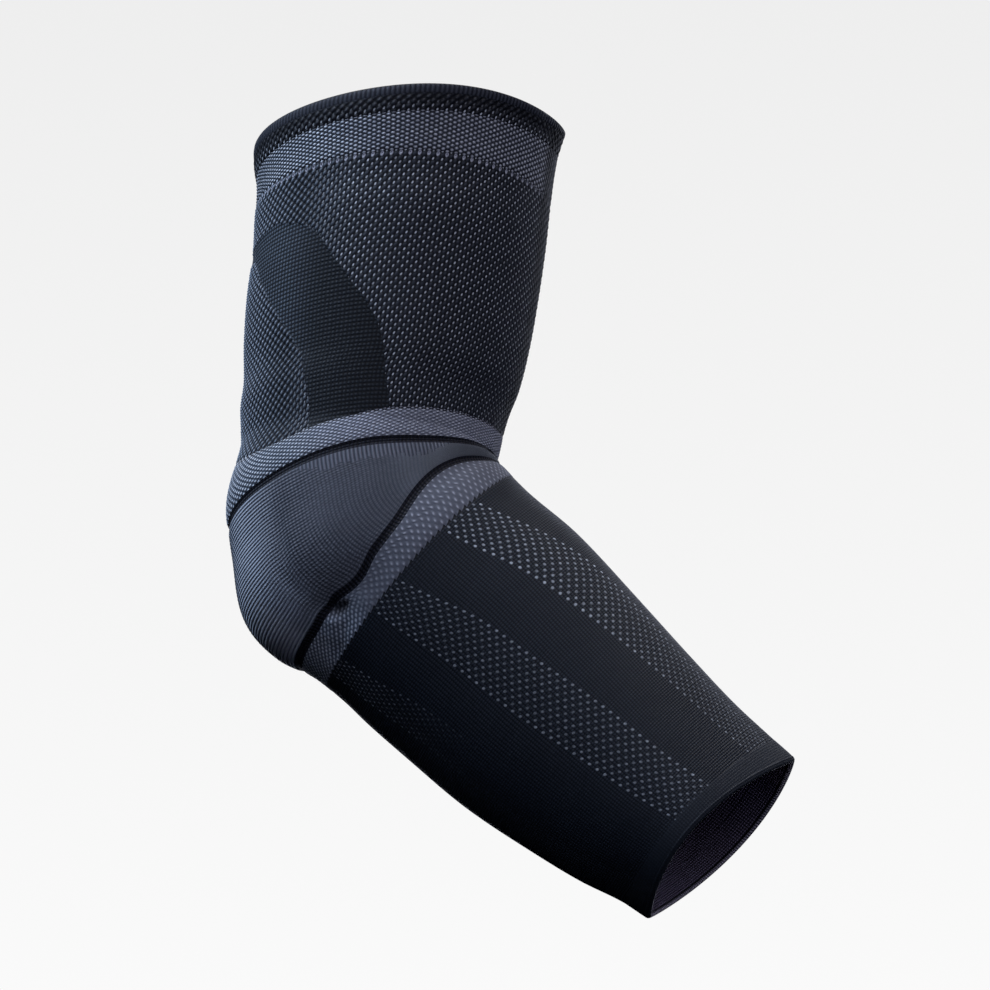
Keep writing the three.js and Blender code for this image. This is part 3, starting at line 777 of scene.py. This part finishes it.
def sleeve_relief(wales, courses, folded, place):
    """Pillows that flatten towards the front, and a low straight grid in the wedge."""
    inside, front = upper_regions(place, folded, 0)
    wedge = smoothstep(inside, -0.5, 0.5)
    grid = np.cos(math.pi * cell(wales)) * np.cos(math.pi * cell(courses))
    return pillows(wales, courses) * (1.2 - 0.75 * front) * (1 - wedge) + 0.15 * grid * wedge


print("the wedge starts at place", WEDGE_TOP[0][1], "at the back")

# %% Knit with dots and a wedge
LOOP_SIZE = (0.5, 0.7)  # loops of the last grey row in the first dark one: one for two wales

sleeve_knit, tree, knit = yarn("dark_coarse_polyamide_knit_with_dots")
way_round = read_map(tree, "way")[0]
inside, front = read_map(tree, "regions")
pillow = mound(tree, squares(tree, knit, True), PILLOW, PILLOW_LEAN, 0.1)
# painted light: the pillows are lighter at the back, where the upper left sun grazes them
off_painted_light = add(tree, "MapRange", [way_round, 0.12, 0.28], **SOFT)
tone = coats(tree, "#828e9c", (off_painted_light, "#5a646f"), (front, "#2c3139"))
gap = squares(tree, knit, True, shift=BETWEEN)
dot = mound(tree, gap, DOT, PILLOW_LEAN, 0.4)
uneven = add(tree, "Mix", {0: chance(tree, gap), 2: 0.6, 3: 1.15})
for share in (front, read_map(tree, "dots_left")[0], uneven):
    dot = add(tree, "Math", [dot, share], operation="MULTIPLY")
colour = coats(tree, "#090b10", (pillow, tone), (dot, DOT_COLOUR))
flat = add(tree, "Mix", {0: front, 2: 1, 3: 0.5})
height = add(tree, "Math", [pillow, flat], operation="MULTIPLY")
height = add(tree, "Math", [dot, 0.5, height], operation="MULTIPLY_ADD")

fine = mound(tree, squares(tree, knit), (0.56, 0.52), 0, 0.1)
# painted light: the wedge is lighter at the back, where the upper left sun falls
off_painted_light = add(tree, "MapRange", [way_round, 0.22, 0.36], **SOFT)
fine_tone = coats(tree, "#48525d", (off_painted_light, "#1d232a"))
fine_height = add(tree, "Math", [fine, 0.3], operation="MULTIPLY")
wedge = add(tree, "MapRange", [inside, -0.5, 0.5], **SOFT)
height = add(tree, "Mix", {0: wedge, 2: height, 3: fine_height})

loops = add(tree, "Mapping", {"Vector": knit, "Scale": (*LOOP_SIZE, 1)})
outer, inner = mound(tree, loops, (0.24, 0.5), 0.12, 0.5), mound(tree, loops, (0.1, 0.36), 0.12, 0.3)
loop = add(tree, "Math", [outer, inner], operation="SUBTRACT")
first_row = add(tree, "Math", [read_map(tree, "knit")[1], 1 / LOOP_SIZE[1]], operation="LESS_THAN")
loop = add(tree, "Math", [loop, first_row], operation="MULTIPLY")
wedge_colour = coats(tree, "#0a0d11", (fine, fine_tone))
finish_yarn(tree, coats(tree, colour, (wedge, wedge_colour), (loop, "#a0a3b0")), height, 0.45, crease=True)
upper = knit_zone(
    "upper_arm_sleeve", 158, course=COARSE_COURSE, relief=sleeve_relief, height=0.4,
    maps={"regions": upper_regions, "dots_left": dots_left},
)
dress(upper, ["upper_arm_sleeve"], sleeve_knit)

# %% [markdown]
# ## Elbow bands and seams
# Grey bands frame the elbow. The upper one is the same beaded grey knit as the stripe, a little more
# domed. A narrow seam of plain dark yarn runs along each band. It could be a groove in the mesh, but
# the real seams hardly sink in, so they are narrow zones of black yarn, which gives the eye a soft
# dark line with a trace of its loops.

# %% Seam yarn and upper band
seam_knit, tree, knit = yarn("black_seam_knit")
loop = mound(tree, squares(tree, knit), (0.6, 0.7))
finish_yarn(tree, coats(tree, "#06070b", (loop, "#1c1f29")), loop, 0.3)
# back colours lighter and bluer: painted light of the upper left sun
band_knit = grey_knit(
    "grey_band_polyamide_knit", ("#3c444e", "#666a74"), ("#a4adb8", "#8b8f9a"), ("#b8c1cb", "#9a9ea9"),
)
upper_band = knit_zone("upper_elbow_band", 40, count=BAND_ROWS, crown=0.05, relief=beads, height=0.3)
dress(upper_band, ["upper_elbow_band"], band_knit)

# %% [markdown]
# The lower band has beads like ropes at the back. Towards the front they turn into soft light dots on
# a darker ground, and its foot goes down in small stairs of two wales. Where the sleeve puckers, the dent
# is painted near black: painted shade in the pit. A UV map gives the dent's depth, so the painted shade
# follows the shape.


# %% Lower band
def pit_depth(place, folded, away):
    """How deep the pucker is, in millimetres. The map's other part is not needed."""
    return dent_depth(place, folded), 0 * place


# painted shade: the colour of the deep part of the pucker
PIT_SHADE = "#0b0e14"
DOT_LEAN = -0.3
STAIR_WALES, STAIR_HEIGHT = 2, 0.55

lower_band_knit, tree, knit = yarn("grey_band_polyamide_knit_with_dots")
way_round = read_map(tree, "way")[0]
wales, courses = read_map(tree, "knit")
rope = mound(tree, squares(tree, knit, True, stretch=2), (0.36, 0.68), PILLOW_LEAN, 0.15)
gap = squares(tree, knit, True, shift=BETWEEN)
bed = mound(tree, gap, (0.46, 0.56), DOT_LEAN, 0.1)
dot = mound(tree, gap, (0.24, 0.28), DOT_LEAN, 0.2)
dotted = add(tree, "MapRange", [way_round, 0.26, 0.5], **SOFT)
dot = add(tree, "Math", [dot, dotted], operation="MULTIPLY")
side = add(tree, "MapRange", [way_round, 0.24, 0.34], **SOFT)
height = add(tree, "Mix", {0: side, 2: rope, 3: bed})
pair = add(tree, "Math", [wales, STAIR_WALES], operation="DIVIDE")
stair = add(tree, "Math", [pair], operation="FRACT")
stepped = add(tree, "Math", [stair, STAIR_HEIGHT, courses], operation="MULTIPLY_ADD")
foot = add(tree, "MapRange", [stepped, LOWER_BAND_ROWS - 0.05, LOWER_BAND_ROWS + 0.05], **SOFT)
pit_shade = add(tree, "MapRange", [read_map(tree, "pit_shade")[0], 1, 4.4], **SOFT)
back_colour = coats(tree, "#454c56", (rope, "#949daa"))
side_colour = coats(tree, "#484c55", (bed, "#5e626b"))
colour = coats(tree, back_colour, (side, side_colour), (dot, "#858993"), (foot, "#0d1015"), (pit_shade, PIT_SHADE))
finish_yarn(tree, colour, height, 0.15)
lower_band = knit_zone(
    "lower_elbow_band", 35, count=LOWER_BAND_ROWS, crown=0.03, relief=soft_beads, height=0.1,
    maps={"pit_shade": pit_depth},
)
dress(lower_band, ["lower_elbow_band"], lower_band_knit)

# %% Seams
seams = []
for name in ("upper_seam", "lower_seam"):
    seams.append(knit_zone(name, 8, count=3, crown=-0.2))
    dress(seams[-1], [name], seam_knit)

# %% [markdown]
# ## Elbow cap
# The cap over the point of the elbow is the softest part. At the back, light ridges run round the
# elbow and meet towards the crook. They could be a bump alone, but they break the outline of the real
# one, so they are relief at the back. Further round they turn into a fine, darker grid of wales and
# courses. Under the upper seam stands a short strip of upright ribs with a ragged lower edge. Ridged
# grey knit gives the eye long soft lines of light at the back and a plain grey from the side.


# %% Cap
def cap_regions(place, folded, away):
    """How far a point lies in the dark middle of the side, and how far inside the strip of ribs."""
    middle = smoothstep(folded, 0.14, 0.3) * (1 - smoothstep(folded, 0.52, 0.72))
    strip = STRIP_WIDTH * smoothstep(folded, 0.3, 0.42) * (1 - smoothstep(folded, 0.62, 0.75))
    return middle, strip - away


STRIP_WIDTH, RAGGED_BY = 4.8, 1.6
CAP_ROWS = 41

cap_knit, tree, knit = yarn("grey_ridged_knit")
dark, strip = read_map(tree, "regions")
stitch = squares(tree, knit)
ridge, column = line(tree, stitch, "Y"), line(tree, stitch, "X")
rows = add(tree, "Math", [ridge, 0.8], operation="ADD")
upright = add(tree, "Math", [column, 0.7], operation="ADD")
grid = add(tree, "Math", [rows, upright], operation="MULTIPLY")
uneven = add(tree, "Mix", {0: chance(tree, stitch), 2: 0.26, 3: 0.36})
grid = add(tree, "Math", [grid, uneven], operation="MULTIPLY")
weave = add(tree, "Mix", {0: dark, 2: ridge, 3: grid})
low, high = coats(tree, "#515862", (dark, "#2b2f36")), coats(tree, "#8b939e", (dark, "#50545d"))
number = add(tree, "Math", [read_map(tree, "knit")[0]], operation="FLOOR")
ragged = add(tree, "TexWhiteNoise", {"W": number}, "Value", noise_dimensions="1D")
ragged = add(tree, "Math", [ragged, -RAGGED_BY, strip], operation="MULTIPLY_ADD")
in_strip = add(tree, "MapRange", [ragged, -0.2, 0.2], **SOFT)
# painted shade: the deep part of the pucker is coloured near black
pit_shade = add(tree, "MapRange", [read_map(tree, "pit_shade")[0], 1.4, 4.4], **SOFT)
strip_colour = coats(tree, "#343841", (column, "#62666f"))
colour = coats(tree, low, (weave, high), (in_strip, strip_colour), (pit_shade, PIT_SHADE))
finish_yarn(tree, colour, add(tree, "Mix", {0: in_strip, 2: weave, 3: column}), 0.35)
cap = knit_zone(
    "elbow_cap", 150, count=CAP_ROWS, crown=0.08, relief=ridges, height=0.16,
    maps={"regions": cap_regions, "pit_shade": pit_depth},
)
dress(cap, ["elbow_cap"], cap_knit)

# %% [markdown]
# ## Forearm
# The forearm is fine dark knit. Three dotted stripes run down each side of it, from the lower elbow
# band to the wrist cuff, each eleven stitches wide. In the solids they are panels of their own. Here
# one tube stands for them all, because the real one has no joins there. A UV map counts the stitches
# across the stripes, up one stripe and down the next, so that it never jumps. Another map says how
# strong the dots are: on the rear and side stripes they fade as painted shade where the sleeve lies in
# shadow, and on the front stripe they grow fainter towards the wrist. The fine yarn looks almost plain,
# and the dots are single light loops on it.

# %% Stripes of the forearm
STRIPE_PLACES = [1.9, 2, 2.2, 2.4, 2.6, 2.8, 3]
STRIPE_EDGES = [  # rear, side and front stripe, each with its edge nearer to the back first
    ([0.06, 0.07, 0.1, 0.12, 0.13, 0.15, 0.18], [0.14, 0.15, 0.2, 0.23, 0.25, 0.28, 0.32]),
    ([0.3, 0.305, 0.33, 0.35, 0.38, 0.42, 0.48], [0.38, 0.4, 0.455, 0.49, 0.53, 0.57, 0.63]),
    ([0.53, 0.545, 0.6, 0.65, 0.7, 0.75, 0.79], [0.63, 0.66, 0.75, 0.84, 0.865, 0.885, 0.9]),
]
STRIPE_STITCHES = 11
STRIPE_COURSE = 1.4
SPARE = 2  # stitches that the count runs on past a stripe
BEYOND = [1.5] * len(STRIPE_PLACES)  # after the front stripe the count never comes back
# Dot strength by place: the rear and side stripes fade as painted shade where the sleeve lies in shadow
DOT_FADE_PLACES = [1.9, 2.1, 2.3, 2.5, 2.7, 3]
DOT_FADE = [  # strength of the dots of the rear, side and front stripe
    [0.6, 0.4, 0.1, 0, 0, 0], [0.55, 0.52, 0.5, 0.46, 0.5, 0.56], [0.97, 0.95, 0.8, 0.62, 0.42, 0.35],
]


def stripe_count(place, folded, away):
    """Stitches across the stripes, and courses along them."""
    knots, values = [-1 + 0 * place], [-SPARE]
    for i, (back, front) in enumerate(STRIPE_EDGES):
        turned = i % 2
        knots += [smooth(STRIPE_PLACES, back, place), smooth(STRIPE_PLACES, front, place)]
        values += [STRIPE_STITCHES, 0] if turned else [0, STRIPE_STITCHES]
        following = STRIPE_EDGES[i + 1][0] if i < 2 else BEYOND
        knots.append((knots[-1] + smooth(STRIPE_PLACES, following, place)) / 2)
        values.append(-SPARE if turned else STRIPE_STITCHES + SPARE)
    across = 0 * place
    for low, high, first, last in zip(knots, knots[1:], values, values[1:]):
        share = (folded - low) / (high - low)
        across = np.where((share >= 0) & (share <= 1), first + (last - first) * share, across)
    return across, away / STRIPE_COURSE


def stripe_dot_fade(place, folded, away):
    """How strong the dots are, faded as painted shade on the rear and side stripes. The map's other
    part is not needed.
    """
    rear, side, front = (smooth(DOT_FADE_PLACES, dot_fade, place) for dot_fade in DOT_FADE)
    rear_edge, side_edge = (smooth(STRIPE_PLACES, STRIPE_EDGES[i][1], place) for i in (0, 1))
    strength = rear + (side - rear) * smoothstep(folded - rear_edge, 0.01, 0.04)
    strength = strength + (front - strength) * smoothstep(folded - side_edge, 0.01, 0.04)
    return strength, 0 * place


print("stripes on each side:", len(STRIPE_EDGES), "of", STRIPE_STITCHES, "stitches")

# %% Fine knit with dotted stripes
forearm_knit, tree, knit = yarn("fine_dark_knit_with_dotted_stripes")
fine = mound(tree, squares(tree, knit), (0.7, 0.6), 0, 0.1)
half = STRIPE_STITCHES / 2
off_half = add(tree, "Math", [read_map(tree, "stripes")[0], half], operation="SUBTRACT")
off_half = add(tree, "Math", [off_half], operation="ABSOLUTE")
in_stripe = add(tree, "Math", [off_half, half], operation="LESS_THAN")
at_edge = add(tree, "MapRange", [off_half, half - 1.1, half - 0.9], **SOFT)
gap = squares(tree, add(tree, "UVMap", uv_map="stripes"), True, shift=(0.5, 0))
dot = mound(tree, gap, (0.25, 0.33), -0.5, 0.35)
uneven = add(tree, "Mix", {0: chance(tree, gap), 2: 0.5, 3: 0.85})
uneven = add(tree, "Math", [at_edge, 0.45, uneven], operation="MULTIPLY_ADD")
for share in (in_stripe, read_map(tree, "dot_fade")[0], uneven):
    dot = add(tree, "Math", [dot, share], operation="MULTIPLY")
colour = coats(tree, "#06080c", (fine, "#1c232d"), (dot, "#959da5"))
height = add(tree, "Math", [fine, 0.5], operation="MULTIPLY")
height = add(tree, "Math", [dot, 0.6, height], operation="MULTIPLY_ADD")
finish_yarn(tree, colour, height, 0.3)
maps = {"stripes": stripe_count, "dot_fade": stripe_dot_fade}
forearm = knit_zone("forearm_sleeve", 120, course=FINE_COURSE, maps=maps)
panels = [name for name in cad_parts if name.startswith("forearm_")]
dress(forearm, panels, forearm_knit)

# %% [markdown]
# ## Wrist cuff and hem
# The cuff is plain and smooth: the same fine yarn, packed so close that its loops hardly show. Its
# last row is a fuzzy rim. The rim could be a torus, but the real one is the edge of the same tube,
# folded over, so it is a zone with a rounded end. Outside it looks like the cuff. Its inner half is
# lighter brushed yarn, painted lighter still as painted light that lifts the rim's own shadow, which
# gives the eye a thin broken line of light round the dark opening.

# %% Wrist cuff
cuff_yarn, tree, knit = yarn("plain_cuff_knit")
loop = mound(tree, squares(tree, knit), (0.7, 0.7))
finish_yarn(tree, coats(tree, "#10141a", (loop, "#1b2129")), loop, 0.08)
wrist = knit_zone("wrist_cuff", 20, course=FINE_COURSE)
dress(wrist, ["wrist_cuff"], cuff_yarn)

# %% Wrist rim
rim_knit, tree, knit = yarn("fuzzy_rim_knit")
loop = mound(tree, squares(tree, knit), (0.6, 0.8))
# partly lighter yarn, partly painted light that lifts the rim's own shadow
lit_tip = add(tree, "MapRange", [read_map(tree, "way")[1], 0.5, 0.8], **SOFT)
gap_colour = coats(tree, "#09080c", (lit_tip, "#3a363f"))
loop_colour = coats(tree, "#131217", (lit_tip, "#b5afba"))
finish_yarn(tree, coats(tree, gap_colour, (loop, loop_colour)), loop, 0.4)
rim = knit_zone("wrist_hem", 8, course=FINE_COURSE, relief=ribs, height=0.1, rim="end")
dress(rim, ["wrist_hem"], cuff_yarn, inside=rim_knit)

# %% [markdown]
# ## Say what is cloth
# Off the arm, the knit is narrower: worn, it is stretched by about a sixth around and a little along.
# Each zone that is wide enough counts as a stretched sheet, and the narrow rings go with the sheet
# that they are knitted onto.

# %% Sheets
SHEETS = [
    ("upper_stripe", stripe, [hem, cuff]),
    ("upper_arm_sleeve", upper, [upper_band]),
    ("elbow_cap", cap, seams),
    ("forearm_sleeve", forearm, [lower_band, wrist, rim]),
]
for name, piece, narrow in SHEETS:
    start, end = span[name]
